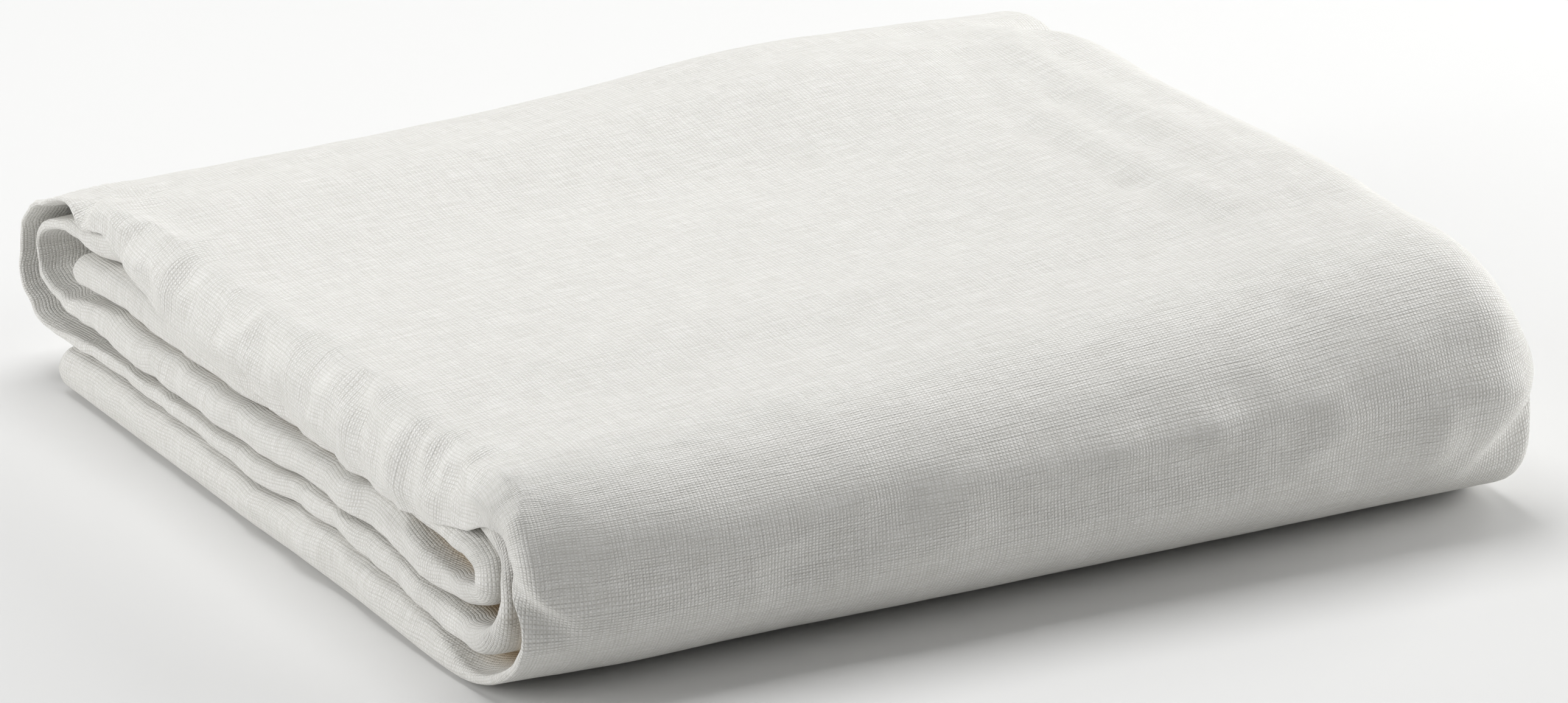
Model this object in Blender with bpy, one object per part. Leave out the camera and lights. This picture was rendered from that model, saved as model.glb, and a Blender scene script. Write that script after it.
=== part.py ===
"""A washed linen bed sheet, neatly folded into a thick, soft, rectangular bundle.

The sheet is first folded lengthways into a padded band, as wide as the bundle is long. The band
is then wound flat: its outer end lies on the ground at the back, it runs forward, turns up over
the front, runs back over the top, turns down at the back, and so on inwards, six runs deep.
The solid is that one band, so its rounded edges show as stacked folds at both short ends.

X is the bundle's long side, Y runs from the front to the back, and Z is up.
The tables hold millimetres.
"""

import math

import bpy
import numpy as np

MILLIMETRE = 0.001

# Ends of the bundle along X, how much the left end slants across the depth, and how much the
# right end leans in above this height
LEFT_END = -196.0
RIGHT_END = 197.5
LEFT_SLANT = -0.045
RIGHT_LEAN = 0.05
RIGHT_LEAN_FROM = 30.0

# Where the run table below is given, from the back to the front
KNOT_Y = (145, 100, 50, 0, -50, -100, -145)

# One row for each run of the band, from the ground up:
# name, thickness at each knot, clear gap above it at each knot
RUNS = (
    ("bottom", (16.5, 16.0, 17.0, 14.5, 18.0, 15.0, 10.0), (1.5, 1.5, 1.2, 1.2, 1.2, 1.2, 1.2)),
    ("second", (4.0, 6.0, 6.0, 8.5, 8.0, 10.0, 10.0), (6.0, 2.5, 1.5, 1.2, 1.2, 1.5, 2.3)),
    ("third", (8.5, 13.0, 13.0, 14.5, 11.5, 12.0, 8.5), (3.5, 1.5, 1.2, 1.2, 1.2, 1.2, 8.5)),
    ("inner", (12.0, 14.0, 12.0, 9.0, 10.0, 7.0, 10.0), (2.0, 1.2, 1.2, 1.2, 1.2, 1.2, 1.2)),
    ("fifth", (9.0, 15.0, 14.5, 16.0, 15.5, 19.0, 14.9), (6.5, 1.0, 1.0, 1.0, 1.0, 1.0, 1.2)),
    ("top", (5.0, 6.0, 5.0, 5.0, 5.0, 5.0, 6.0), (0.0, 0.0, 0.0, 0.0, 0.0, 0.0, 0.0)),
)

# How much taller the bundle stands than at its left end:
# x, then the rise at y = 150, 50, -50 and -145
RISE_Y = (150, 50, -50, -145)
RISE = (
    (-190, (1, 0, 0, 0)),
    (-80, (3, 3, 3, 2)),
    (0, (8, 6, 6, 6)),
    (80, (15, 13, 12, 12)),
    (170, (13, 20, 22, 20)),
)

# One row for each turn of the band, as (left end, right end) pairs of sizes:
# name, lower and upper run, y where the turn leaves them, how far its outer and inner faces
# reach, height of the widest place as a share of the turn, and roundness below and above it
# (2 is an ellipse, more is squarer)
TURNS = (
    ("front wall", "bottom", "top", (-147, -147), (-158, -138), (-195, -200), (-190.5, -194),
     (0.46, 0.46), (2.0, 2.0), (2.8, 2.1)),
    ("back loop", "second", "top", (150, 148), (130, 132), (186, 186), (181.5, 181),
     (0.42, 0.46), (2.4, 2.2), (1.75, 2.0)),
    ("inner front", "second", "fifth", (-142, -140), (-142, -132), (-177, -186), (-171.5, -178),
     (0.40, 0.46), (4.0, 2.2), (2.6, 2.2)),
    ("inner back", "third", "fifth", (142, 140), (138, 136), (176.5, 172), (173.3, 168),
     (0.52, 0.50), (3.0, 2.2), (2.0, 2.0)),
    ("core", "third", "inner", (-138, -138), (-138, -138), (-169, -168), (-157, -158),
     (0.50, 0.50), (2.4, 2.2), (3.6, 2.2)),
)

# The band from its outer end to its inner end: piece, and number of steps along it
PATH = (
    ("bottom", 13),
    ("front wall", 11),
    ("top", 15),
    ("back loop", 11),
    ("second", 12),
    ("inner front", 9),
    ("fifth", 13),
    ("inner back", 9),
    ("third", 12),
    ("core", 6),
    ("inner", 11),
)

# y of the two free ends of the band, which are rounded
OUTER_TIP = 152.0
INNER_TIP = 144.0

# How far the band's edge lies inside the bundle's ends, at the left and at the right
SET_IN = {
    "bottom": (-2.0, 0.0),
    "front wall": (0.0, 0.0),
    "top": (0.0, 0.0),
    "back loop": (-1.5, 2.0),
    "second": (0.5, 7.0),
    "inner front": (4.5, 29.0),
    "fifth": (6.5, 29.0),
    "inner back": (2.0, 14.0),
    "third": (0.5, 3.0),
    "core": (2.0, 12.0),
    "inner": (2.5, 10.5),
}

# The outer run hangs over both ends as a soft lip, bent down by this angle. Where it stops on the
# top run towards the back, and how far it fades there, as a (left end, right end) pair:
LIP_ANGLE = math.radians(86)
LIP_BACK = (97.0, 112.0)
LIP_BACK_FADE = (8.0, 28.0)
# At the left the lip shrinks to a small rolled rim, here at the front and at LIP_BACK at the back.
# The rim opens out to a thin straight rim between two heights of the front wall and beyond this y.
LIP_FRONT = -152.0
LIP_FRONT_FADE = 7.0
RIM_BACK = 130.0
RIM_BACK_FADE = 9.0
RIM_ZONE = 6.5
RIM_RADIUS = 2.4
RIM_ROLLED = 48.0
RIM_STRAIGHT = 24.0
# At the right the lip goes on round the front wall, and fades between these two heights
LIP_FOOT = 13.0
LIP_FULL = 50.0
# The fifth run comes out from under the lip beyond this y
FIFTH_SHOWN = (108.0, 145.0)
# At the left, the foot of the inner front fold stands out as a lobe below this height
LOBE_TOP = 27.0
LOBE_SET_IN = -1.0
# Radius of the lip's bend, and the radius that it narrows to at the right end's back corner
LIP_RADIUS = (12.0, 24.0)
LIP_RADIUS_BACK = 13.0
# At the left the lip hangs down to the roll under it: how much longer it is at each knot, and how
# far its lower edge tucks in
LIP_LONGER = (0.0, 0.6, 2.4, 3.4, 5.2, 7.0, 7.0)
LIP_TUCK = 2.0

# How much thinner the band's edge is than the band at the left end, as a share
EDGE_THIN = {
    "front wall": 0.62,
    "top": 0.68,
    "back loop": 0.6,
    "inner back": 0.45,
}

# Roundness of the band's folded edge: 1 is an ellipse, and less is squarer
EDGE_ROUND = 0.92
EDGE_ROUND_LEFT = {"bottom": 0.7, "second": 0.7, "third": 0.7, "inner": 0.75}

# The edge zone at each end: its length, its steps, and the angles of the rounded edge
EDGE_ZONE = (22.0, 38.5)
EDGE_STEPS = 4
EDGE_ANGLES = (35, 62, 82)
# Cross-sections between the two edge zones
MIDDLE_X = (-145, -98, -48, 4, 56, 104)
# Spacing of the cross-sections that all the rings are read from
SECTION_STEP = 10.0

# A low bulge at the foot of the front, near the left corner
BULGE_X = -140.0
BULGE_WIDTH = 28.0
BULGE_DEPTH = 2.0
# A low hollow in the front wall beside the left rim
HOLLOW_X = -192.0
HOLLOW_Z = 52.0
HOLLOW_WIDTH = 20.0
HOLLOW_HEIGHT = 24.0
HOLLOW_DEPTH = 4.0

LINEN_COLOUR = (0.76, 0.755, 0.735, 1.0)
LINEN_ROUGHNESS = 0.9

RUN_NAMES = [run[0] for run in RUNS]


def smooth_step(value):
    value = np.clip(value, 0.0, 1.0)
    return value * value * (3.0 - 2.0 * value)


def smooth_curve(at, knots, values):
    """A curve through the values that doesn't overshoot much, flat beyond the end knots."""
    knots = np.asarray(knots, float)
    values = np.asarray(values, float)
    if knots[0] > knots[-1]:
        knots = knots[::-1]
        values = values[::-1]
    slopes = np.zeros(len(knots))
    rise = np.diff(values) / np.diff(knots)
    same_way = rise[:-1] * rise[1:] > 0
    slopes[1:-1] = np.where(same_way, 0.5 * (rise[:-1] + rise[1:]), 0.0)
    at = np.clip(np.asarray(at, float), knots[0], knots[-1])
    place = np.clip(np.searchsorted(knots, at, side="right") - 1, 0, len(knots) - 2)
    width = knots[place + 1] - knots[place]
    part = (at - knots[place]) / width
    start = values[place]
    end = values[place + 1]
    bend = part * part * (3 - 2 * part)
    lead = part * (1 - part) ** 2 * slopes[place] * width
    trail = part * part * (part - 1) * slopes[place + 1] * width
    return start + (end - start) * bend + lead + trail


def rise_at(x, y):
    """How much taller the bundle is here than at its left end."""
    columns = [smooth_curve(x, [row[0] for row in RISE], [row[1][i] for row in RISE])
               for i in range(len(RISE_Y))]
    return smooth_curve(y, RISE_Y, columns)


def run_faces(name, x, y):
    """Heights of the lower and the upper face of a run at this place."""
    low = np.zeros_like(y)
    for run_name, thickness, gap in RUNS:
        high = low + smooth_curve(y, KNOT_Y, thickness)
        if run_name == name:
            break
        low = high + smooth_curve(y, KNOT_Y, gap)
    total = sum(smooth_curve(y, KNOT_Y, run[1]) + smooth_curve(y, KNOT_Y, run[2]) for run in RUNS)
    scale = 1.0 + rise_at(x, y) / total
    return low * scale, high * scale


def turn_side(angle, low_end, high_end, reach, widest, below, above):
    """One face of a turn: a half ring from the lower run's face to the upper run's face."""
    (low_y, low_z), (high_y, high_z) = low_end, high_end
    widest_z = low_z + (high_z - low_z) * widest
    up = angle > 0
    power = np.where(up, 2.0 / above, 2.0 / below)
    tall = np.where(up, high_z - widest_z, widest_z - low_z)
    foot = np.where(up, high_y, low_y)
    z = widest_z + np.sign(angle) * tall * np.abs(np.sin(angle)) ** power
    y = foot + (reach - foot) * np.abs(np.cos(angle)) ** power
    return np.stack([y, z], axis=1)


def turn_faces(row, x, share, steps):
    """Outer and inner face of a turn, from its lower run to its upper run."""
    lower, upper = row[1:3]
    low_y, high_y, outer, inner, widest, below, above = [
        pair[0] + (pair[1] - pair[0]) * share for pair in row[3:]]
    angle = np.radians(np.linspace(-90, 90, steps + 1)[1:-1])
    low_faces = [float(z[0]) for z in run_faces(lower, x, np.array([low_y]))]
    high_faces = [float(z[0]) for z in run_faces(upper, x, np.array([high_y]))]
    outer_side = turn_side(angle, (low_y, low_faces[0]), (high_y, high_faces[1]),
                           outer, widest, below, above)
    inner_side = turn_side(angle, (low_y, low_faces[1]), (high_y, high_faces[0]),
                           inner, widest, below, above)
    return outer_side, inner_side


def run_ends(name, share):
    """y at the back and the front end of a run."""
    back, front = OUTER_TIP, -134.0
    if name == "inner":
        back = INNER_TIP
    for row in TURNS:
        for end_name, pair in ((row[1], row[3]), (row[2], row[4])):
            if end_name != name:
                continue
            y = pair[0] + (pair[1] - pair[0]) * share
            if y > 0:
                back = y
            else:
                front = y
    return back, front


def section(x):
    """The band's cross-section at x: outer and inner face, and the piece each point is on."""
    share = 1.0 - math.exp(-max(x - LEFT_END, 0.0) / 90.0)
    outer, inner, names = [], [], []
    for name, steps in PATH:
        if name in RUN_NAMES:
            back, front = run_ends(name, share)
            # The bottom, second and third runs go forward, and the others go back.
            forward = name in ("bottom", "second", "third")
            spacing = np.linspace(0.0, 1.0, steps + 1)
            if name in ("bottom", "inner"):
                spacing = tip_spacing(steps)
            if name in ("top", "fifth"):
                spacing = spacing - 0.10 * np.sin(2 * math.pi * spacing)
            y = back - (back - front) * spacing
            low, high = run_faces(name, x, y)
            low_side = np.stack([y, low], axis=1)
            high_side = np.stack([y, high], axis=1)
            if forward:
                outer.append(low_side)
                inner.append(high_side)
            else:
                outer.append(high_side[::-1])
                inner.append(low_side[::-1])
            names += [name] * len(y)
        else:
            row = next(turn for turn in TURNS if turn[0] == name)
            outer_side, inner_side = turn_faces(row, x, share, steps)
            # Turns at the front are passed upwards, and those at the back downwards.
            if row[5][0] > 0:
                outer_side = outer_side[::-1]
                inner_side = inner_side[::-1]
            outer.append(outer_side)
            inner.append(inner_side)
            names += [name] * len(outer_side)
    return np.concatenate(outer), np.concatenate(inner), names


class Band:
    """The cross-sections along X, and the band's faces at any x between them."""

    def __init__(self):
        self.x = np.arange(LEFT_END - 10.0, RIGHT_END + 10.0, SECTION_STEP)
        sections = [section(x) for x in self.x]
        self.outer = np.array([found[0] for found in sections])
        self.inner = np.array([found[1] for found in sections])
        self.names = sections[0][2]
        self.count = len(self.names)

    def faces_at(self, x):
        """Outer and inner face, each point at its own x."""
        place = (np.clip(x, self.x[0], self.x[-1]) - self.x[0]) / SECTION_STEP
        before = np.minimum(place.astype(int), len(self.x) - 2)
        part = (place - before)[:, None]
        every = np.arange(self.count)
        outer = self.outer[before, every] * (1 - part) + self.outer[before + 1, every] * part
        inner = self.inner[before, every] * (1 - part) + self.inner[before + 1, every] * part
        return outer, inner


def tip_spacing(steps):
    """Places along a run with a free end at 0: closer together where the tip is rounded."""
    tip = np.array([0.0, 0.008, 0.022])
    return np.concatenate([tip, np.linspace(0.045, 1.0, steps - 2)])


def along_band(points):
    """Length along the band at each point."""
    steps = np.linalg.norm(np.diff(points, axis=0), axis=1)
    return np.concatenate([[0.0], np.cumsum(steps)])


def blurred(values, length, reach):
    """The values averaged along the band over about this reach."""
    weight = np.exp(-0.5 * ((length[:, None] - length[None, :]) / reach) ** 2)
    spacing = np.gradient(length)
    weight = weight * spacing[None, :]
    return weight @ values / weight.sum(axis=1)


def tip_taper(names, outer, inner):
    """Share of the full thickness: 1 along the band, less where its two free ends are rounded."""
    middle = 0.5 * (outer + inner)
    taper = np.ones(len(names))
    for name, tip in (("bottom", OUTER_TIP), ("inner", INNER_TIP)):
        on_run = np.array([piece == name for piece in names])
        half = 0.5 * np.linalg.norm(outer - inner, axis=1)
        share = np.clip((tip - middle[:, 0]) / (0.5 * half), 0.02, 1.0)
        rounded = (1.0 - (1.0 - share) ** 2.6) ** (1 / 2.6)
        taper = np.where(on_run, np.minimum(taper, rounded), taper)
    return taper


def fade(value, reach):
    """0 well below zero, 1 well above it, and half at zero."""
    return 0.5 + 0.5 * np.tanh(1.2 * value / reach)


def lip_shares(names, middle, length, column):
    """How much the band's edge is bent inwards at each point, from 0 to 1, and how long the bent
    lip is, from 0 for the small rim to 1."""
    z = middle[:, 1]
    on_top = np.array([name == "top" for name in names])
    on_wall = np.array([name == "front wall" for name in names])
    back_stop = np.interp(LIP_BACK[column], middle[on_top, 0], length[on_top])
    bent = fade(back_stop - length, LIP_BACK_FADE[column])
    size = np.ones_like(z)
    if column == 0:
        above = on_top | (on_wall & (z > 60))
        front_stop = np.interp(LIP_FRONT, middle[above, 0], length[above])
        rim_stop = np.interp(RIM_BACK, middle[on_top, 0], length[on_top])
        size = fade(length - front_stop, LIP_FRONT_FADE) * bent
        bent = fade(rim_stop - length, RIM_BACK_FADE)
        opened = smooth_step((z - RIM_STRAIGHT) / (RIM_ROLLED - RIM_STRAIGHT))
        bent = np.where(length < front_stop, bent * opened, bent)
    else:
        bent = bent * smooth_step((z - LIP_FOOT) / (LIP_FULL - LIP_FOOT))
    return np.where(length < back_stop + 60, bent, 0.0), size


def set_in_distance(names, middle, length, column):
    """How far the band's edge lies inside the end of the bundle at each point."""
    y = middle[:, 0]
    distance = np.array([SET_IN[name][column] for name in names])
    # The fifth run comes out from under the lip where the lip stops at the back.
    fifth = np.array([name == "fifth" for name in names])
    shown = SET_IN["inner back"][column]
    distance = np.where(fifth & (y > FIFTH_SHOWN[column]), shown, distance)
    # The second run is level with the bottom run at the back.
    second = np.array([name == "second" for name in names])
    distance = np.where(second, distance * smooth_step((135 - y) / 50), distance)
    if column == 0:
        inner_front = np.array([name == "inner front" for name in names])
        distance = np.where(inner_front & (middle[:, 1] < LOBE_TOP), LOBE_SET_IN, distance)
    return blurred(distance, length, 8.0)


def corner_distance(middle, column):
    """How far the bundle's plan is rounded off towards its corners."""
    y, z = middle[:, 0], middle[:, 1]
    front = (3.0, 0.0)[column] * (np.clip(-150.0 - y, 0, None) / 46.0) ** 2
    back = (0.0, 15.0)[column] * (np.clip(y - 110.0, 0, None) / 75.0) ** 2
    foot = (0.0, 3.0)[column] * smooth_step((50.0 - z) / 50.0) * smooth_step((-120.0 - y) / 50.0)
    return front + back + foot


def edge_rings(band, side):
    """The band's rings at one end, from the inside to the edge."""
    column = 0 if side < 0 else 1
    zone = EDGE_ZONE[column]
    end = (LEFT_END, RIGHT_END)[column]
    names = band.names
    outer, inner = band.faces_at(np.full(band.count, end - side * zone))
    middle = 0.5 * (outer + inner)
    half = 0.5 * np.linalg.norm(outer - inner, axis=1)
    length = along_band(middle)
    y = middle[:, 0]
    if column == 0:
        slant = LEFT_SLANT * y
    else:
        slant = -RIGHT_LEAN * np.clip(middle[:, 1] - RIGHT_LEAN_FROM, 0, None)
    drawn_in = set_in_distance(names, middle, length, column) + corner_distance(middle, column)
    edge_x = end + slant - side * drawn_in
    bent, size = lip_shares(names, middle, length, column)
    lip_angle = LIP_ANGLE * bent
    radius = np.full_like(y, LIP_RADIUS[column])
    thin = np.zeros_like(y)
    tuck = np.zeros_like(y)
    roundness = np.full_like(y, EDGE_ROUND)
    if column == 0:
        radius = RIM_RADIUS + (radius - RIM_RADIUS) * size
        longer = zone + smooth_curve(y, KNOT_Y, LIP_LONGER)
        lip_zone = RIM_ZONE + (longer - RIM_ZONE) * size
        zone = zone + (lip_zone - zone) * bent
        tuck = LIP_TUCK * bent * size
        thin = blurred(np.array([EDGE_THIN.get(name, 0.0) for name in names]), length, 6.0)
        left_round = np.array([EDGE_ROUND_LEFT.get(name, EDGE_ROUND) for name in names])
        roundness = blurred(left_round, length, 6.0)
    else:
        radius += (LIP_RADIUS_BACK - radius) * smooth_step((y - 20) / 110)
    nose = np.clip(1.15 * half * (1 - thin), 1.5, 9.5)

    # A bent lip reaches out less than a straight edge of the same length does.
    straight = np.clip(zone - nose - radius * lip_angle, 0, None)
    reach = radius * np.sin(lip_angle) + (straight + nose) * np.cos(lip_angle)
    reach = reach + half * np.sin(lip_angle)
    zone_x = edge_x - side * reach

    rings = []
    for step in range(EDGE_STEPS + 1 + len(EDGE_ANGLES)):
        if step <= EDGE_STEPS:
            travel = (zone - nose) * step / EDGE_STEPS
            taper = 1.0
        else:
            angle = math.radians(EDGE_ANGLES[step - EDGE_STEPS - 1])
            travel = zone - nose + nose * math.sin(angle) ** roundness
            taper = math.cos(angle) ** roundness
        bend = np.minimum(travel / radius, lip_angle)
        straight = travel - bend * radius
        out = radius * np.sin(bend) + straight * np.cos(bend)
        down = radius * (1 - np.cos(bend)) + straight * np.sin(bend)
        outer, inner = band.faces_at(zone_x + side * out)
        middle = 0.5 * (outer + inner)
        half = 0.5 * np.linalg.norm(outer - inner, axis=1)
        inward = (inner - outer) / (2 * half[:, None])
        # The edge gets thinner from its inner face, and the lip's lower edge tucks in.
        thinner = thin * smooth_step(travel / (zone - nose))
        tucked = tuck * smooth_step((travel - zone + 10.0) / 10.0)
        tips = tip_taper(names, outer, inner)
        ring = []
        for layer in (-taper, taper):
            # The outer face lies outside the bend, and the inner face inside it.
            across = half * (layer * (1 - thinner) - thinner) * tips
            x = zone_x + side * (out - across * np.sin(bend) - tucked)
            shift = down + across * np.cos(bend)
            ring.append(np.column_stack([x, middle + inward * shift[:, None]]))
        rings.append(ring)
    return rings


def middle_ring(band, x):
    outer, inner = band.faces_at(np.full(band.count, float(x)))
    tip = tip_taper(band.names, outer, inner)
    middle = 0.5 * (outer + inner)
    ring = []
    for face in (outer, inner):
        place = middle + (face - middle) * tip[:, None]
        ring.append(np.column_stack([np.full(band.count, float(x)), place]))
    return ring


def bulge(points):
    """The front's foot swells forward near the left corner, and the wall beside the rim is hollow."""
    moved = points.copy()
    x, y, z = points[:, 0], points[:, 1], points[:, 2]
    near = np.exp(-((x - BULGE_X) / BULGE_WIDTH) ** 2)
    forward = smooth_step((-100 - y) / 60) * smooth_step((48 - z) / 48)
    moved[:, 1] -= BULGE_DEPTH * near * forward
    by_rim = np.exp(-((x - HOLLOW_X) / HOLLOW_WIDTH) ** 2 - ((z - HOLLOW_Z) / HOLLOW_HEIGHT) ** 2)
    moved[:, 1] += HOLLOW_DEPTH * by_rim * smooth_step((-165 - moved[:, 1]) / 20)
    return moved


def sheet_mesh():
    """All points and faces of the folded sheet."""
    band = Band()
    rings = edge_rings(band, -1)[::-1]
    rings += [middle_ring(band, x) for x in MIDDLE_X]
    rings += edge_rings(band, 1)
    count = len(rings[0][0])
    points = np.concatenate([bulge(face) for ring in rings for face in ring])
    # The origin is the middle of the bundle's box, on the ground.
    box_middle = 0.5 * (points.min(axis=0) + points.max(axis=0))
    points -= np.array([box_middle[0], box_middle[1], 0.0])
    points *= MILLIMETRE

    def index(ring, face, place):
        return (ring * 2 + face) * count + place

    faces = []
    last = len(rings) - 1
    for ring in range(last):
        for place in range(count - 1):
            for face in (0, 1):
                corners = [index(ring, face, place), index(ring + 1, face, place),
                           index(ring + 1, face, place + 1), index(ring, face, place + 1)]
                faces.append(corners if face == 0 else corners[::-1])
        for place in (0, count - 1):
            corners = [index(ring, 0, place), index(ring, 1, place),
                       index(ring + 1, 1, place), index(ring + 1, 0, place)]
            faces.append(corners if place == 0 else corners[::-1])
    for place in range(count - 1):
        for ring in (0, last):
            corners = [index(ring, 0, place), index(ring, 0, place + 1),
                       index(ring, 1, place + 1), index(ring, 1, place)]
            faces.append(corners if ring == 0 else corners[::-1])
    return points, faces


def linen_material():
    material = bpy.data.materials.new("washed_linen")
    material.use_nodes = True
    shader = material.node_tree.nodes["Principled BSDF"]
    shader.inputs["Base Color"].default_value = LINEN_COLOUR
    shader.inputs["Roughness"].default_value = LINEN_ROUGHNESS
    shader.inputs["Metallic"].default_value = 0.0
    return material


def clear_scene():
    for thing in list(bpy.data.objects):
        bpy.data.objects.remove(thing, do_unlink=True)


def make_sheet():
    points, faces = sheet_mesh()
    mesh = bpy.data.meshes.new("folded_sheet")
    mesh.from_pydata([tuple(point) for point in points], [], faces)
    mesh.validate()
    mesh.shade_smooth()
    mesh.set_sharp_from_angle(angle=math.radians(50))
    mesh.materials.append(linen_material())
    sheet = bpy.data.objects.new("folded_sheet", mesh)
    bpy.context.scene.collection.objects.link(sheet)
    return sheet


clear_scene()
make_sheet()
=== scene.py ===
# %% [markdown]
# # A folded linen bed sheet
#
# The object is one washed linen bed sheet, folded neatly into a thick, soft, rectangular bundle.
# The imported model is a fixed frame: it gives the size and place of the bundle, and the thin cloth
# that is made below lies on its folds.

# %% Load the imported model
import math

import bpy
import numpy as np
from mathutils import Matrix, Vector, noise


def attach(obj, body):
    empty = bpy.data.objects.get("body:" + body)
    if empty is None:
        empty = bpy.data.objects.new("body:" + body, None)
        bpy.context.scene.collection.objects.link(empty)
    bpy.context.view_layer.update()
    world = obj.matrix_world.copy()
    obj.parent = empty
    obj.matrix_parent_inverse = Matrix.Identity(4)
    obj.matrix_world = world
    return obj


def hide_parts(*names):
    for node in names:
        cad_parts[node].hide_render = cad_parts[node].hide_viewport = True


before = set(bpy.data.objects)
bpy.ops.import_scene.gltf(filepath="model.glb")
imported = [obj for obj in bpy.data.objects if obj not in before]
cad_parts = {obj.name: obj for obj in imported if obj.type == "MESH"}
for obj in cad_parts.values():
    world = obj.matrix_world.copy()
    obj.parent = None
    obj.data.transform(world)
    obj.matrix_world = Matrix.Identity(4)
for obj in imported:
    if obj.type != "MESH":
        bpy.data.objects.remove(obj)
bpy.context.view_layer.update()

# %% [markdown]
# ## The camera
#
# The bundle is seen from the front left and from a little above. A long lens far away keeps its
# sides nearly parallel, as on a shop photograph. The view is given by two angles, a distance and
# two small shifts, which were fitted to the bundle's outline.

# %% Place the camera
VIEW_TURN = -0.481929
VIEW_HEIGHT = 0.352235
VIEW_DISTANCE = 2.2
VIEW_AIM = Vector((0.00414, 0.00684, 0.0))
VIEW_RIGHT, VIEW_UP = 0.006222, 0.026937
LENS_MM = 144.362

back = Vector((math.sin(VIEW_TURN) * math.cos(VIEW_HEIGHT),
               -math.cos(VIEW_TURN) * math.cos(VIEW_HEIGHT), math.sin(VIEW_HEIGHT)))
right = Vector((math.cos(VIEW_TURN), math.sin(VIEW_TURN), 0.0))
up = back.cross(right)
place = back * VIEW_DISTANCE + right * VIEW_RIGHT + up * VIEW_UP + VIEW_AIM

lens = bpy.data.cameras.new("camera")
lens.sensor_width = 36.0
lens.sensor_fit = "HORIZONTAL"
lens.lens = LENS_MM
lens.clip_end = 20.0
camera = bpy.data.objects.new("camera", lens)
bpy.context.scene.collection.objects.link(camera)
turned = Matrix((right, up, back)).transposed().to_4x4()
camera.matrix_world = Matrix.Translation(place) @ turned
bpy.context.scene.camera = camera
print("camera at", [round(v, 3) for v in place])

# %% [markdown]
# ## Floor and light
#
# White cloth needs quiet light. Large lamps stand all round, the strongest above and a little
# behind, so the top is the brightest face. The folded end at the left is a little darker, and the
# front is darkest, because only a weak lamp at its right end looks at it. All lamps are large, so
# every shadow has a soft edge, and each fold still shows.

# %% Hex colours turned to linear
def linear(hex_colour):
    """A colour written as RRGGBB in sRGB, as the linear numbers that Blender's nodes take."""
    shares = [int(hex_colour[i:i + 2], 16) / 255 for i in (0, 2, 4)]
    return tuple(s / 12.92 if s <= 0.04045 else ((s + 0.055) / 1.055) ** 2.4
                 for s in shares) + (1.0,)


def add(tree, kind, settings=(), inputs=(), links=()):
    """Adds one node: its settings, the values of its inputs, and the sockets linked to it."""
    node = tree.nodes.new(kind)
    for name, value in dict(settings).items():
        setattr(node, name, value)
    for name, value in dict(inputs).items():
        node.inputs[name].default_value = value
    for name, socket in dict(links).items():
        tree.links.new(socket, node.inputs[name])
    return node


# %% Floor, room and lamps
FLOOR_BELOW = 0.0006
FLOOR_COLOUR, FLOOR_ROUGHNESS = "E9E9E8", 0.95
ROOM_STRENGTH = 0.02

bpy.ops.object.select_all(action="DESELECT")
bpy.ops.mesh.primitive_plane_add(size=6.0, location=(0.0, 0.0, 0.0))
floor = bpy.context.object
floor.name = "floor"
# The floor lies a hair lower than the cloth, so that the two don't flicker.
floor.location.z = -FLOOR_BELOW
paint = bpy.data.materials.new("matt_white_floor")
paint.use_nodes = True
paint_shader = paint.node_tree.nodes["Principled BSDF"]
paint_shader.inputs["Base Color"].default_value = linear(FLOOR_COLOUR)
paint_shader.inputs["Roughness"].default_value = FLOOR_ROUGHNESS
floor.data.materials.append(paint)

room = bpy.data.worlds.new("bright_room")
bpy.context.scene.world = room
room.use_nodes = True
room_light = room.node_tree.nodes["Background"]
room_light.inputs["Color"].default_value = (1.0, 1.0, 1.0, 1.0)
room_light.inputs["Strength"].default_value = ROOM_STRENGTH
bpy.context.scene.view_settings.view_transform = "Standard"

# name, place, size, watts
LAMPS = (
    ("lamp_left", (-1.9, 0.35, 1.05), 1.2, 16.0),
    ("lamp_low_left", (-2.1, -0.1, 0.45), 0.9, 9.0),
    ("lamp_right", (1.9, 0.7, 1.2), 1.0, 12.5),
    ("lamp_low_right", (2.0, -0.3, 0.5), 0.9, 24.0),
    ("lamp_above", (0.0, 0.5, 2.0), 1.5, 27.0),
    ("lamp_behind", (0.0, 1.9, 1.2), 1.4, 8.5),
    ("lamp_front_right", (1.6, -1.3, 1.0), 1.0, 7.0),
)
LAMP_AIM = Vector((0.0, 0.0, 0.04))
for name, where, size, watts in LAMPS:
    light = bpy.data.lights.new(name, "AREA")
    light.size = size
    light.energy = watts
    lamp = bpy.data.objects.new(name, light)
    bpy.context.scene.collection.objects.link(lamp)
    lamp.location = where
    lamp.rotation_euler = (Vector(where) - LAMP_AIM).to_track_quat("Z", "Y").to_euler()
print(len(LAMPS), "lamps")

# %% [markdown]
# ## How the sheet is folded
#
# The sheet is first folded lengthways into a padded band, as wide as the bundle is long. The band
# is then wound flat, six runs deep: it starts on the ground at the back, runs forward, turns up
# over the front, back over the top, down at the back, and so on inwards. The cross-section is one
# line that is followed from end to end, which is why it is made from tables and not from a
# primitive: a cloth simulation could drape it, but it couldn't be told to fold like this.

# %% The tables of the winding, in millimetres
# The two ends. The left one goes askew with y, and the right one leans in above a height.
LEFT_END, RIGHT_END = -196.0, 197.5
LEFT_SLANT, RIGHT_LEAN, RIGHT_LEAN_FROM = -0.045, 0.05, 30.0

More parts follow.
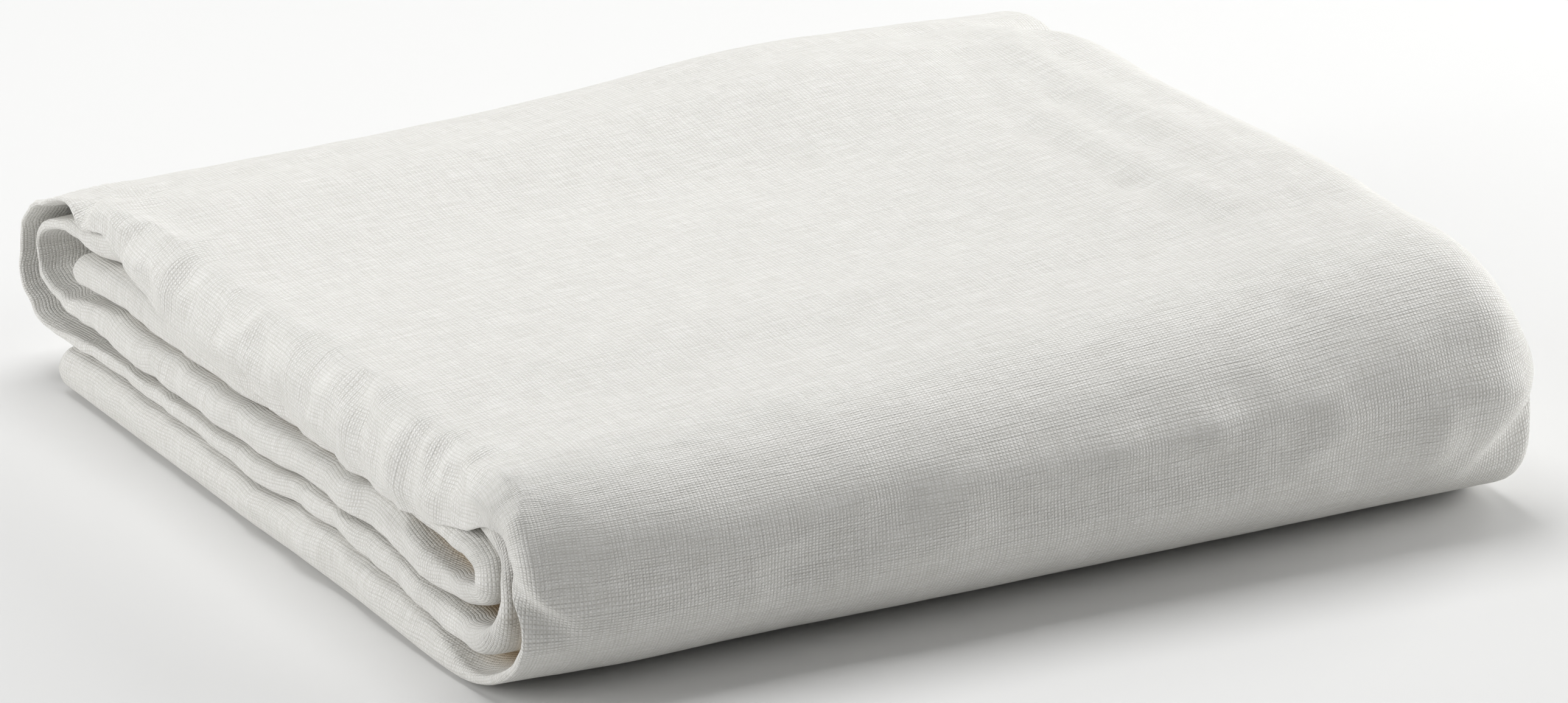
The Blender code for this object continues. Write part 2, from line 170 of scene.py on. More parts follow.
# Runs from the ground up: name, thickness at each of these y, clear gap above it
KNOT_Y = (145, 100, 50, 0, -50, -100, -145)
RUNS = (
    ("bottom", (16.5, 16.0, 17.0, 14.5, 18.0, 15.0, 10.0), (1.5, 1.5, 1.2, 1.2, 1.2, 1.2, 1.2)),
    ("second", (4.0, 6.0, 6.0, 8.5, 8.0, 10.0, 10.0), (6.0, 2.5, 1.5, 1.2, 1.2, 1.5, 2.3)),
    ("third", (8.5, 13.0, 13.0, 14.5, 11.5, 12.0, 8.5), (3.5, 1.5, 1.2, 1.2, 1.2, 1.2, 8.5)),
    ("inner", (12.0, 14.0, 12.0, 9.0, 10.0, 7.0, 10.0), (2.0, 1.2, 1.2, 1.2, 1.2, 1.2, 1.2)),
    ("fifth", (9.0, 15.0, 14.5, 16.0, 15.5, 19.0, 14.9), (6.5, 1.0, 1.0, 1.0, 1.0, 1.0, 1.2)),
    ("top", (5.0, 6.0, 5.0, 5.0, 5.0, 5.0, 6.0), (0.0, 0.0, 0.0, 0.0, 0.0, 0.0, 0.0)),
)
# x, and how much taller the bundle is there than at its left end, at four y
RISE_Y = (150, 50, -50, -145)
RISE = (
    (-190, (1, 0, 0, 0)),
    (-80, (3, 3, 3, 2)),
    (0, (8, 6, 6, 6)),
    (80, (15, 13, 12, 12)),
    (170, (13, 20, 22, 20)),
)
# Turns, as (left end, right end) pairs: name, lower and upper run, y where it leaves them, reach
# of its outer and inner face, height of its widest place, roundness below and above that
TURNS = (
    ("front wall", "bottom", "top", (-147, -147), (-158, -138), (-195, -200), (-190.5, -194),
     (0.46, 0.46), (2.0, 2.0), (2.8, 2.1)),
    ("back loop", "second", "top", (150, 148), (130, 132), (186, 186), (181.5, 181),
     (0.42, 0.46), (2.4, 2.2), (1.75, 2.0)),
    ("inner front", "second", "fifth", (-142, -140), (-142, -132), (-177, -186), (-171.5, -178),
     (0.40, 0.46), (4.0, 2.2), (2.6, 2.2)),
    ("inner back", "third", "fifth", (142, 140), (138, 136), (176.5, 172), (173.3, 168),
     (0.52, 0.50), (3.0, 2.2), (2.0, 2.0)),
    ("core", "third", "inner", (-138, -138), (-138, -138), (-169, -168), (-157, -158),
     (0.50, 0.50), (2.4, 2.2), (3.6, 2.2)),
)
# Turns go over from their left form to their right form over about this length.
TURN_BLEND = 90.0
# The band from its outer end to its inner end: piece, and number of rows of the mesh on it
PATH = (
    ("bottom", 40), ("front wall", 46), ("top", 100), ("back loop", 44), ("second", 44),
    ("inner front", 36), ("fifth", 50), ("inner back", 34), ("third", 44), ("core", 22),
    ("inner", 44),
)
# y of the band's two free ends, outer and inner, and of a run's front end where no turn sets it
OUTER_TIP, INNER_TIP, PLAIN_FRONT = 152.0, 144.0, -134.0
# Roundness of the free ends, and a small number that keeps a thin slit between their faces
TIP_ROUND, TIP_SLIT = 2.6, 0.0005
# How far the band's edge lies inside the bundle's ends: left, right
SET_IN = {
    "bottom": (-2.0, 0.0), "front wall": (0.0, 0.0), "top": (0.0, 0.0), "back loop": (-1.5, 2.0),
    "second": (0.5, 7.0), "inner front": (4.5, 29.0), "fifth": (6.5, 29.0),
    "inner back": (2.0, 14.0), "third": (0.5, 3.0), "core": (2.0, 12.0), "inner": (2.5, 10.5),
}
# The outer run hangs over both ends as a soft lip, bent down by this angle. Where it stops towards
# the back and how far it fades there, as left and right, and how much further along the band an
# edge may still be bent:
LIP_ANGLE = math.radians(86)
LIP_BACK, LIP_BACK_FADE, LIP_LAST = (106.0, 112.0), (18.0, 28.0), 60.0
# At the left it shrinks to a small rolled rim, towards the back and towards the front, where it
# stops at this y, high on the front wall. The rim opens out to a thin straight one between two
# heights of the front wall, and beyond another y at the back.
LIP_FRONT, LIP_FRONT_FADE, LIP_FRONT_Z = -169.0, 32.0, 60.0
RIM_BACK, RIM_BACK_FADE = 130.0, 9.0
RIM_ZONE, RIM_RADIUS = 6.5, 2.4
RIM_ROLLED, RIM_STRAIGHT = 48.0, 24.0
# At the right it goes on round the front wall, and fades between two heights
LIP_FOOT, LIP_FULL = 13.0, 50.0
# The fifth run comes out from under the lip beyond this y
FIFTH_SHOWN = (108.0, 145.0)
# At the left, the foot of the inner front fold stands out as a lobe below this height
LOBE_TOP, LOBE_SET_IN = 27.0, -1.0
# Radius of the lip's bend at the left and the right, and at the right's back
LIP_RADIUS, LIP_RADIUS_BACK = (12.0, 24.0), 13.0
# How far the edge zones reach in from the left and the right edge
EDGE_ZONE = (22.0, 38.5)
# At the left the lip hangs down to the roll under it: how much longer it is at each knot, and how
# far its lower edge tucks in
LIP_LONGER = (0.0, 2.0, 7.0, 10.0, 12.5, 13.5, 9.0)
LIP_TUCK, TUCK_FROM_EDGE = 2.0, 10.0
# Where the lip hangs over the innermost run, that run is set in this much more. It fades out
# between these two y.
COVERED_SET_IN, COVERED = 1.8, (35.0, 75.0)
# The second run's set-in fades out between these two y
SECOND_SET_IN = (85.0, 135.0)
# More set-in towards the front, towards the back and at the foot of the front: left, right
FRONT_SET_IN, BACK_SET_IN, FOOT_SET_IN = (3.0, 0.0), (0.0, 15.0), (0.0, 3.0)
# How much thinner the band's edge is than the band at the left end, as a share
EDGE_THIN = {"front wall": 0.62, "top": 0.68, "back loop": 0.6, "inner back": 0.45}
# Length of the band's rounded edge, as a share of half the thickness, and its limits
NOSE_SHARE, NOSE_LIMITS = 1.15, (1.3, 9.5)
# Roundness of the band's folded edge: 1 is an ellipse, and less is squarer
EDGE_ROUND = 0.92
EDGE_ROUND_LEFT = {"bottom": 0.7, "second": 0.7, "third": 0.7, "inner": 0.75}
# Distance between two cross-sections, which are blended in between
SECTION_STEP = 5.0
# A soft bulge at the foot of the front, and a hollow beside its rim
BULGE_X, BULGE_WIDTH, BULGE_DEPTH = -140.0, 28.0, 2.0
HOLLOW_X, HOLLOW_Z, HOLLOW_DEPTH = -192.0, 52.0, 4.0
HOLLOW_WIDTH, HOLLOW_HEIGHT = 20.0, 24.0
# Middle of the bundle's box in these tables' own frame
BOX_MIDDLE = np.array([-4.14, -6.84, 0.0])

RUN_NAMES = [run[0] for run in RUNS]
print(len(RUNS), "runs,", len(TURNS), "turns,", sum(row[1] for row in PATH), "steps along")


# %% Smooth curves through table values
def smooth_step(value):
    """0 at zero and below, 1 at one and above, and smooth between."""
    value = np.clip(value, 0.0, 1.0)
    return value * value * (3.0 - 2.0 * value)


def ramp_up(value, low, high):
    """0 below low, 1 above high, and a smooth ramp between."""
    return smooth_step((value - low) / (high - low))


def ramp_down(value, low, high):
    """1 below low, 0 above high, and a smooth ramp between."""
    return smooth_step((high - value) / (high - low))


def smooth_curve(at, knots, values):
    """A curve through the values that doesn't overshoot much, flat beyond the end knots."""
    knots = np.asarray(knots, float)
    values = np.asarray(values, float)
    if knots[0] > knots[-1]:
        knots = knots[::-1]
        values = values[::-1]
    slopes = np.zeros(len(knots))
    rise = np.diff(values) / np.diff(knots)
    same_way = rise[:-1] * rise[1:] > 0
    slopes[1:-1] = np.where(same_way, 0.5 * (rise[:-1] + rise[1:]), 0.0)
    at = np.clip(np.asarray(at, float), knots[0], knots[-1])
    spot = np.clip(np.searchsorted(knots, at, side="right") - 1, 0, len(knots) - 2)
    width = knots[spot + 1] - knots[spot]
    part = (at - knots[spot]) / width
    bend = part * part * (3 - 2 * part)
    lead = part * (1 - part) ** 2 * slopes[spot] * width
    trail = part * part * (part - 1) * slopes[spot + 1] * width
    return values[spot] + (values[spot + 1] - values[spot]) * bend + lead + trail


def fade(value, reach):
    """0 well below zero, 1 well above it, and half at zero."""
    return 0.5 + 0.5 * np.tanh(1.2 * value / reach)


# %% [markdown]
# ## The cross-section
#
# At each x the winding is one pair of lines, the outer and the inner face of the band. Runs are
# read from the thickness table, and turns are half rings between two runs, with their own
# roundness above and below.

# %% Runs and turns
def run_faces(name, x, y):
    """Heights of the lower and the upper face of a run at this place."""
    low = np.zeros_like(y)
    for run_name, thickness, gap in RUNS:
        high = low + smooth_curve(y, KNOT_Y, thickness)
        if run_name == name:
            break
        low = high + smooth_curve(y, KNOT_Y, gap)
    total = sum(smooth_curve(y, KNOT_Y, run[1]) + smooth_curve(y, KNOT_Y, run[2]) for run in RUNS)
    columns = [smooth_curve(x, [row[0] for row in RISE], [row[1][i] for row in RISE])
               for i in range(len(RISE_Y))]
    scale = 1.0 + smooth_curve(y, RISE_Y, columns) / total
    return low * scale, high * scale


def turn_side(angle, low_end, high_end, reach, widest, below, above):
    """One face of a turn: a half ring from the lower run's face to the upper run's face."""
    (low_y, low_z), (high_y, high_z) = low_end, high_end
    widest_z = low_z + (high_z - low_z) * widest
    upper = angle > 0
    power = np.where(upper, 2.0 / above, 2.0 / below)
    tall = np.where(upper, high_z - widest_z, widest_z - low_z)
    foot = np.where(upper, high_y, low_y)
    z = widest_z + np.sign(angle) * tall * np.abs(np.sin(angle)) ** power
    y = foot + (reach - foot) * np.abs(np.cos(angle)) ** power
    return np.stack([y, z], axis=1)


def turn_faces(row, x, share, steps):
    """Outer and inner face of a turn, from its lower run to its upper run."""
    lower, upper = row[1:3]
    low_y, high_y, outer, inner, widest, below, above = [
        pair[0] + (pair[1] - pair[0]) * share for pair in row[3:]]
    angle = np.radians(np.linspace(-90, 90, steps + 1)[1:-1])
    low_faces = [float(z[0]) for z in run_faces(lower, x, np.array([low_y]))]
    high_faces = [float(z[0]) for z in run_faces(upper, x, np.array([high_y]))]
    sides = []
    for reach, near, far in ((outer, 0, 1), (inner, 1, 0)):
        sides.append(turn_side(angle, (low_y, low_faces[near]), (high_y, high_faces[far]),
                               reach, widest, below, above))
    return sides


def run_ends(name, share):
    """y at the back and the front end of a run."""
    back_y, front_y = OUTER_TIP, PLAIN_FRONT
    if name == "inner":
        back_y = INNER_TIP
    for row in TURNS:
        for end_name, pair in ((row[1], row[3]), (row[2], row[4])):
            y = pair[0] + (pair[1] - pair[0]) * share
            if end_name == name and y > 0:
                back_y = y
            elif end_name == name:
                front_y = y
    return back_y, front_y


# %% One whole cross-section
def run_spacing(name, steps):
    """Places of the rows along a run: closer where the band's free end is rounded."""
    if name in ("bottom", "inner"):
        tip = np.array([0.0, 0.002, 0.005, 0.009, 0.014, 0.020, 0.028, 0.038])
        return np.concatenate([tip, np.linspace(0.05, 1.0, steps + 1 - len(tip))])
    spacing = np.linspace(0.0, 1.0, steps + 1)
    if name in ("top", "fifth"):
        spacing = spacing - 0.07 * np.sin(2 * math.pi * spacing)
    return spacing


def section(x):
    """The band's cross-section at x: outer and inner face, and the piece each point is on."""
    share = 1.0 - math.exp(-max(x - LEFT_END, 0.0) / TURN_BLEND)
    outer, inner, names = [], [], []
    for name, steps in PATH:
        if name in RUN_NAMES:
            back_y, front_y = run_ends(name, share)
            y = back_y - (back_y - front_y) * run_spacing(name, steps)
            low, high = run_faces(name, x, y)
            sides = [np.stack([y, low], axis=1), np.stack([y, high], axis=1)]
            # The bottom, second and third runs go forward, and the others go back.
            if name not in ("bottom", "second", "third"):
                sides = [sides[1][::-1], sides[0][::-1]]
        else:
            row = next(turn for turn in TURNS if turn[0] == name)
            sides = turn_faces(row, x, share, steps)
            # Turns at the front are passed upwards, and those at the back downwards.
            if row[5][0] > 0:
                sides = [side[::-1] for side in sides]
        outer.append(sides[0])
        inner.append(sides[1])
        names += [name] * len(sides[0])
    return np.concatenate(outer), np.concatenate(inner), names


section_x = np.arange(LEFT_END - 10.0, RIGHT_END + 10.0, SECTION_STEP)
sections = [section(x) for x in section_x]
outer_faces = np.array([found[0] for found in sections])
inner_faces = np.array([found[1] for found in sections])
piece_of_row = np.array(sections[0][2])
ROWS = len(piece_of_row)


def faces_at(x):
    """Outer and inner face of the band, each row at its own x."""
    spot = (np.clip(x, section_x[0], section_x[-1]) - section_x[0]) / SECTION_STEP
    before = np.minimum(spot.astype(int), len(section_x) - 2)
    part = (spot - before)[:, None]
    every = np.arange(ROWS)
    outer = outer_faces[before, every] * (1 - part) + outer_faces[before + 1, every] * part
    inner = inner_faces[before, every] * (1 - part) + inner_faces[before + 1, every] * part
    return outer, inner


middle_outer = faces_at(np.zeros(ROWS))[0]
row_length = np.concatenate([[0.0], np.cumsum(np.linalg.norm(np.diff(middle_outer, axis=0),
                                                             axis=1))])
print(ROWS, "rows,", round(row_length[-1]), "mm of band")

# %% [markdown]
# ## The band's two edges
#
# At both ends the band's edge is a rounded fold, because the sheet turns round there from the
# band's outer side to its inner side. The outermost run also hangs over the end as a soft lip,
# which bends down in front of the runs under it.


# %% Shape of the edges
def blurred(values, length, reach):
    """The values averaged along the band over about this reach."""
    weight = np.exp(-0.5 * ((length[:, None] - length[None, :]) / reach) ** 2)
    weight = weight * np.gradient(length)[None, :]
    return weight @ values / weight.sum(axis=1)


def tip_taper(outer, inner):
    """Share of the full thickness: 1 along the band, less where its two free ends are rounded."""
    middle = 0.5 * (outer + inner)
    half = 0.5 * np.linalg.norm(outer - inner, axis=1)
    taper = np.ones(ROWS)
    for name, tip in (("bottom", OUTER_TIP), ("inner", INNER_TIP)):
        share = np.clip((tip - middle[:, 0]) / (0.5 * half), TIP_SLIT, 1.0)
        rounded = (1.0 - (1.0 - share) ** TIP_ROUND) ** (1 / TIP_ROUND)
        taper = np.where(piece_of_row == name, np.minimum(taper, rounded), taper)
    return taper


def lip_shares(middle, length, column):
    """For each row, how much the band's edge is bent inwards, from 0 to 1, and how long the bent
    lip is, from 0 for a small rim to 1."""
    z = middle[:, 1]
    on_top = piece_of_row == "top"
    back_stop = np.interp(LIP_BACK[column], middle[on_top, 0], length[on_top])
    bent = fade(back_stop - length, LIP_BACK_FADE[column])
    size = np.ones(ROWS)
    if column == 0:
        high_rows = on_top | ((piece_of_row == "front wall") & (z > LIP_FRONT_Z))
        front_stop = np.interp(LIP_FRONT, middle[high_rows, 0], length[high_rows])
        rim_stop = np.interp(RIM_BACK, middle[on_top, 0], length[on_top])
        size = fade(length - front_stop, LIP_FRONT_FADE) * bent
        bent = fade(rim_stop - length, RIM_BACK_FADE)
        on_wall = length < front_stop
        opened = ramp_up(z, RIM_STRAIGHT, RIM_ROLLED)
        bent = np.where(on_wall, bent * opened, bent)
    else:
        bent = bent * ramp_up(z, LIP_FOOT, LIP_FULL)
    return np.where(length < back_stop + LIP_LAST, bent, 0.0), size


class Edge:
    """One end of the band: side is -1 at the left and 1 at the right."""

    def __init__(self, side):
        self.side = side
        column = 0 if side < 0 else 1
        self.zone = EDGE_ZONE[column]
        end = (LEFT_END, RIGHT_END)[column]
        outer, inner = faces_at(np.full(ROWS, end - side * self.zone))
        middle = 0.5 * (outer + inner)
        half = 0.5 * np.linalg.norm(outer - inner, axis=1)
        y = middle[:, 0]
        length = np.concatenate([[0.0], np.cumsum(np.linalg.norm(np.diff(middle, axis=0), axis=1))])
        set_in = np.array([SET_IN[name][column] for name in piece_of_row])
        shown = SET_IN["inner back"][column]
        set_in = np.where((piece_of_row == "fifth") & (y > FIFTH_SHOWN[column]), shown, set_in)
        kept = ramp_down(y, *SECOND_SET_IN)
        set_in = np.where(piece_of_row == "second", set_in * kept, set_in)
        if column == 0:
            lobe = (piece_of_row == "inner front") & (middle[:, 1] < LOBE_TOP)
            set_in = np.where(lobe, LOBE_SET_IN, set_in)
            covered = (piece_of_row == "inner") * ramp_down(y, *COVERED)
            set_in = set_in + COVERED_SET_IN * covered
        set_in = blurred(set_in, length, 8.0)
        set_in += FRONT_SET_IN[column] * (np.clip(-150.0 - y, 0, None) / 46.0) ** 2
        set_in += BACK_SET_IN[column] * (np.clip(y - 110.0, 0, None) / 75.0) ** 2
        low_front = ramp_down(middle[:, 1], 0.0, 50.0) * ramp_down(y, -170.0, -120.0)
        set_in += FOOT_SET_IN[column] * low_front
        slant = LEFT_SLANT * y
        if column == 1:
            slant = -RIGHT_LEAN * np.clip(middle[:, 1] - RIGHT_LEAN_FROM, 0, None)
        lip, size = lip_shares(middle, length, column)
        self.bend = LIP_ANGLE * lip
        self.radius = np.full(ROWS, LIP_RADIUS[column])
        self.thin = np.zeros(ROWS)
        self.tuck = np.zeros(ROWS)
        self.round = np.full(ROWS, EDGE_ROUND)
        if column == 0:
            self.radius = RIM_RADIUS + (self.radius - RIM_RADIUS) * size
            longer = self.zone + smooth_curve(y, KNOT_Y, LIP_LONGER)
            lip_zone = RIM_ZONE + (longer - RIM_ZONE) * size
            self.zone = self.zone + (lip_zone - self.zone) * lip
            self.tuck = LIP_TUCK * lip * size
            thin = np.array([EDGE_THIN.get(name, 0.0) for name in piece_of_row])
            self.thin = blurred(thin, length, 6.0)
            roundness = np.array([EDGE_ROUND_LEFT.get(name, EDGE_ROUND) for name in piece_of_row])
            self.round = blurred(roundness, length, 6.0)
        else:
            self.radius += (LIP_RADIUS_BACK - self.radius) * ramp_up(y, 20.0, 130.0)
        self.nose = np.clip(NOSE_SHARE * half * (1 - self.thin), *NOSE_LIMITS)
        # A bent lip reaches out less than a straight edge of the same length does.
        straight = np.clip(self.zone - self.nose - self.radius * self.bend, 0, None)
        reach = self.radius * np.sin(self.bend) + (straight + self.nose) * np.cos(self.bend)
        reach = reach + half * np.sin(self.bend)
        self.zone_x = end + slant - side * set_in - side * reach

    def row_points(self, travel, layer):
        """Points of one column: travel is the way out along the edge zone, and layer is -1 on the
        band's outer face and 1 on its inner face."""
        bend = np.minimum(travel / self.radius, self.bend)
        straight = travel - bend * self.radius
        out = self.radius * np.sin(bend) + straight * np.cos(bend)
        down = self.radius * (1 - np.cos(bend)) + straight * np.sin(bend)
        outer, inner = faces_at(self.zone_x + self.side * out)
        middle = 0.5 * (outer + inner)
        half = 0.5 * np.linalg.norm(outer - inner, axis=1)
        inward = (inner - outer) / (2 * half[:, None])
        thin = self.thin * smooth_step(travel / (self.zone - self.nose))
        off_middle = half * (layer * (1 - thin) - thin) * tip_taper(outer, inner)
        tuck = self.tuck * ramp_up(travel, self.zone - TUCK_FROM_EDGE, self.zone)
        x = self.zone_x + self.side * (out - off_middle * np.sin(bend) - tuck)
        shift = down + off_middle * np.cos(bend)
        return np.column_stack([x, middle + inward * shift[:, None]])


left_edge, right_edge = Edge(-1), Edge(1)
print("edge zones", EDGE_ZONE, "mm")

# %% [markdown]
# ## Laying the sheet along the band
#
# The whole sheet is one rectangle of cloth. Across, it starts at a free edge on the band's inner
# side, goes round the left edge fold, over the outer side, round the right edge fold, and then in
# between, where it makes two more layers. The table below says for each column of the mesh where
# it lies: in the left zone, between the zones, or in the right zone, and on which layer.

# %% Columns of the sheet
# The two hidden layers lie a third of the thickness to either side of the band's middle.
LAYER = 1 / 3


def zone_columns(edge, shares, layer):
    """Columns on one layer of an edge zone."""
    return [("zone", edge, share, layer) for share in shares]


def fold_columns(edge, count, layer):
    """Columns round a fold from layer to -layer, without its first and last."""
    angles = np.linspace(0, math.pi, count + 2)[1:-1]
    return [("fold", edge, math.sin(a), layer * math.cos(a)) for a in angles]


def middle_columns(places, layers):
    """Columns between the two zones, each at its own layer."""
    return [("middle", None, share, layer) for share, layer in zip(places, layers)]


def across(start, end, count, layer):
    """Even columns between the two zones, all on one layer."""
    return middle_columns(np.linspace(start, end, count), [layer] * count)


# The outer side has many columns in the edge zones, and the inner side, which hardly shows, few.
zone_out = np.linspace(0, 1, 14)
zone_few = np.linspace(0, 1, 6)
COLUMNS = (
    across(0.50, 0.04, 16, 1.0)
    + zone_columns(left_edge, zone_few, 1.0)
    + fold_columns(left_edge, 15, 1.0)
    + zone_columns(left_edge, zone_out[::-1], -1.0)
    + across(0.015, 0.985, 66, -1.0)
    + zone_columns(right_edge, zone_out, -1.0)
    + fold_columns(right_edge, 13, -1.0)
    + zone_columns(right_edge, zone_few[::-1], 1.0)
    + across(0.96, 0.54, 13, 1.0)
    + middle_columns([0.50, 0.47, 0.44, 0.41], [0.85, 0.62, 0.42, LAYER])
    + across(0.30, 0.02, 6, LAYER)
    + middle_columns([0.008, 0.004, 0.008], [0.7 * LAYER, 0.0, -0.7 * LAYER])
    + across(0.02, 0.98, 13, -LAYER)
    + middle_columns([0.992, 0.996, 0.992], [-0.7 * LAYER, 0.0, 0.7 * LAYER])
    + across(0.98, 0.56, 6, LAYER)
)


def column_points(kind, edge, share, layer):
    """Points of one column, one for each row."""
    if kind == "zone":
        return edge.row_points((edge.zone - edge.nose) * share, layer)
    if kind == "fold":
        over = math.copysign(1.0, layer) * abs(layer) ** edge.round
        return edge.row_points(edge.zone - edge.nose + edge.nose * share ** edge.round, over)
    x = left_edge.zone_x + (right_edge.zone_x - left_edge.zone_x) * share
    outer, inner = faces_at(x)
    middle = 0.5 * (outer + inner)
    taper = tip_taper(outer, inner)[:, None]
    return np.column_stack([x, middle + 0.5 * (inner - outer) * layer * taper])


cloth = np.array([column_points(*column) for column in COLUMNS]).transpose(1, 0, 2)
forward = ramp_down(cloth[..., 1], -160.0, -100.0) * ramp_down(cloth[..., 2], 0.0, 48.0)
near = np.exp(-((cloth[..., 0] - BULGE_X) / BULGE_WIDTH) ** 2)
cloth[..., 1] -= BULGE_DEPTH * near * forward
by_rim = np.exp(-((cloth[..., 0] - HOLLOW_X) / HOLLOW_WIDTH) ** 2
                - ((cloth[..., 2] - HOLLOW_Z) / HOLLOW_HEIGHT) ** 2)
cloth[..., 1] += HOLLOW_DEPTH * by_rim * ramp_down(cloth[..., 1], -185.0, -165.0)
cloth -= BOX_MIDDLE
print(cloth.shape[0], "rows by", cloth.shape[1], "columns")

# %% [markdown]
# ## Soft folds and crumples
#
# The large folds are in the winding already. On top of them lie the small ones: long soft troughs
# and ridges on the top beside the right end, a ridge along the front, and the crumpled left end.
# Each row of a table is one fold, as a line between two places of a face, with its width and its
# depth. Everything near that face is pushed the same way, so the layers never cross.

# %% Tables of the soft folds, in millimetres: two ends of the line, width, push outwards
# On the top: x and y
TOP_FOLDS = (
    ((134, 142), (136, 96), 6.0, -0.7),
    ((130, 100), (118, 20), 7.0, -0.9), ((118, 20), (116, -48), 7.0, -0.9),
    ((116, -48), (122, -96), 7.0, -0.7), ((126, 40), (130, -80), 6.0, 0.5),
    ((148, 120), (141, 40), 6.0, -0.8), ((141, 40), (140, -20), 6.0, -0.8),
    ((140, -20), (144, -84), 6.0, -0.5), ((154, 100), (156, -20), 6.0, 0.5),
    ((176, 130), (165, 82), 5.0, -0.6), ((165, 82), (172, 4), 5.0, -0.5),
    ((172, 4), (170, -75), 5.0, -0.5), ((170, -75), (150, -144), 5.0, -0.4),
    ((160, -61), (149, -105), 5.0, -0.4), ((149, -105), (134, -158), 5.0, -0.4),
    ((-60, 60), (40, 40), 30.0, -0.5), ((-120, -60), (20, -90), 35.0, 0.5),
)
# On the front: x and z
FRONT_FOLDS = (
    ((-23, 53), (33, 54), 6.0, 0.9), ((33, 54), (67, 55), 6.0, 1.2),
    ((67, 55), (109, 58), 6.0, 1.2), ((109, 58), (140, 68), 6.0, 0.7),
    ((70, 40), (128, 38), 8.0, -1.0),
    ((-166, 62), (-168, 34), 7.0, -1.2), ((-178, 60), (-178, 30), 5.0, 0.6),
    ((-142, 43), (-110, 37), 8.0, -0.7), ((-90, 35), (-46, 46), 8.0, -1.8),
    ((-130, 56), (-60, 58), 8.0, 0.6), ((-10, 40), (60, 42), 9.0, -1.4),
    ((138, 46), (142, 36), 7.0, -0.5), ((153, 30), (156, 46), 5.0, 1.4),
    ((168, 52), (186, 47), 6.0, 1.6), ((162, 66), (187, 62), 7.0, -1.2),
    ((164, 27), (188, 30), 7.0, -1.4), ((100, 40), (117, 48), 5.0, 1.2),
    ((120, 30), (150, 22), 6.0, -0.9), ((85, 78), (92, 64), 5.0, 0.8),
)
# On the left end: y and z
LEFT_FOLDS = (
    ((8, 50), (2, 46), 6.0, -1.5), ((-15, 48), (-24, 44), 6.0, -1.0),
    ((-28, 40), (-56, 41), 5.0, -1.0), ((-74, 36), (-98, 38), 5.0, -1.8),
    ((-98, 62), (-106, 50), 9.0, 1.6), ((-110, 72), (-140, 64), 9.0, -1.0),
    ((44, 56), (8, 57), 7.0, 0.9), ((28, 40), (-4, 36), 6.0, 0.7),
    ((60, 68), (36, 60), 8.0, -0.8), ((-78, 66), (-92, 60), 7.0, -1.0),
    ((-50, 62), (-66, 50), 8.0, 0.9), ((-36, 66), (-46, 72), 8.0, -0.7),
    ((100, 50), (70, 36), 6.0, -0.9), ((90, 62), (60, 48), 8.0, 0.8),
    ((-124, 52), (-132, 46), 7.0, 0.8), ((120, 20), (90, 17), 5.0, -0.6),
    ((-66, 26), (-92, 22), 5.0, 0.9), ((0, 12), (-40, 10), 7.0, 0.8),
    ((60, 12), (30, 14), 7.0, -0.7), ((-100, 10), (-130, 8), 6.0, -0.8),
)


# %% Folds and unevenness
def folded(table, first, second):
    """Sum of the folds of one table at these places."""
    total = np.zeros_like(first)
    for (a0, b0), (a1, b1), width, depth in table:
        long = max((a1 - a0) ** 2 + (b1 - b0) ** 2, 1.0)
        share = np.clip(((first - a0) * (a1 - a0) + (second - b0) * (b1 - b0)) / long, 0, 1)
        away = (first - a0 - share * (a1 - a0)) ** 2 + (second - b0 - share * (b1 - b0)) ** 2
        total += depth * np.exp(-away / width ** 2)
    return total


def uneven(points, size, seed):
    """Gentle unevenness between -1 and 1, with waves about this many millimetres long."""
    places = points.reshape(-1, 3) / size + seed
    values = [noise.noise(Vector(place)) for place in places.tolist()]
    return np.array(values).reshape(points.shape[:2])


# %% Push the cloth
# How strongly each face is pushed, in millimetres, by its table, by crumples and by the swell
TOP_PUSH, FRONT_PUSH, LEFT_PUSH = (1.5, 0.25, 0.5), (1.15, 0.3, 0.6), (2.0, 1.6, 0.0)
LIP_DENTS, END_PINCHES, LIP_PINCHES = 2.2, 1.5, 2.5

x, y, z = cloth[..., 0].copy(), cloth[..., 1].copy(), cloth[..., 2].copy()
crumple = uneven(cloth, 17.0, 3.0) + 0.5 * uneven(cloth, 8.5, 11.0)
swell = uneven(cloth, 60.0, 5.0)
dents = np.abs(uneven(cloth, 22.0, 7.0)) * 2.0 - 0.4
pinches = np.abs(uneven(cloth, 13.0, 9.0)) - 0.2


def face_push(strengths, folds):
    """How far one face is pushed outwards."""
    by_table, by_crumple, by_swell = strengths
    return by_table * folds + by_crumple * crumple + by_swell * swell


at_top = ramp_up(z, 30.0, 70.0)
at_front = ramp_down(y, -170.0, -110.0) * ramp_up(z, 0.0, 10.0)
at_left = ramp_down(x, -180.0, -130.0) * ramp_up(z, 0.0, 10.0)
on_lip = at_left * ramp_up(z, 50.0, 70.0) * ramp_down(x, -177.0, -165.0)
cloth[..., 2] += at_top * face_push(TOP_PUSH, folded(TOP_FOLDS, x, y))
cloth[..., 1] -= at_front * face_push(FRONT_PUSH, folded(FRONT_FOLDS, x, z))
cloth[..., 0] -= at_left * face_push(LEFT_PUSH, folded(LEFT_FOLDS, y, z))
cloth[..., 2] -= LIP_DENTS * on_lip * dents
cloth[..., 0] += at_left * (END_PINCHES + LIP_PINCHES * on_lip) * pinches
print(len(TOP_FOLDS) + len(FRONT_FOLDS) + len(LEFT_FOLDS), "folds placed by hand")


